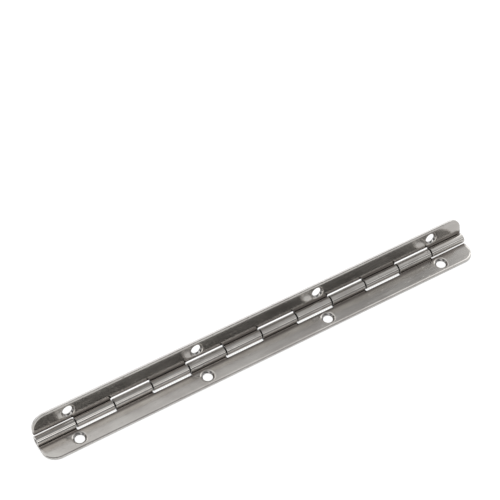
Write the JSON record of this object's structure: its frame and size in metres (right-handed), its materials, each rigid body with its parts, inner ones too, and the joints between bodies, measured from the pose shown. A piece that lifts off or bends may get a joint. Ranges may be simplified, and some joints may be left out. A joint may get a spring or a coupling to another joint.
{
  "type": "piano hinge",
  "caption": "Continuous hinge of two identical rolled steel leaves on one full-length pin, with countersunk screw holes along each leaf.",
  "frame": {"origin": "centre of the fixed leaf's line of screw holes, on the leaf's back face", "axes": "+X along the pin, +Y across the fixed leaf from its outer edge to the barrel, +Z out of the fixed leaf's front, the barrel side, with the fixed leaf's back on Z = 0"},
  "size_m": [0.2, 0.014, 0.0129],
  "materials": {
    "leaf_steel": "bright stainless steel, finely brushed along the hinge, almost a mirror",
    "pin_steel": "plain drawn stainless wire"
  },
  "bodies": {
    "fixed_leaf": {"fixed_leaf": "leaf_steel", "hinge_pin": "pin_steel"},
    "moving_leaf": {"moving_leaf": "leaf_steel"}
  },
  "joints": [
    {"name": "leaf_fold", "type": "hinge", "parent": "fixed_leaf", "child": "moving_leaf", "pos_m": [0, 0.0065, 0.00215], "axis": [1, 0, 0], "range_deg": [-178, 105]}
  ]
}
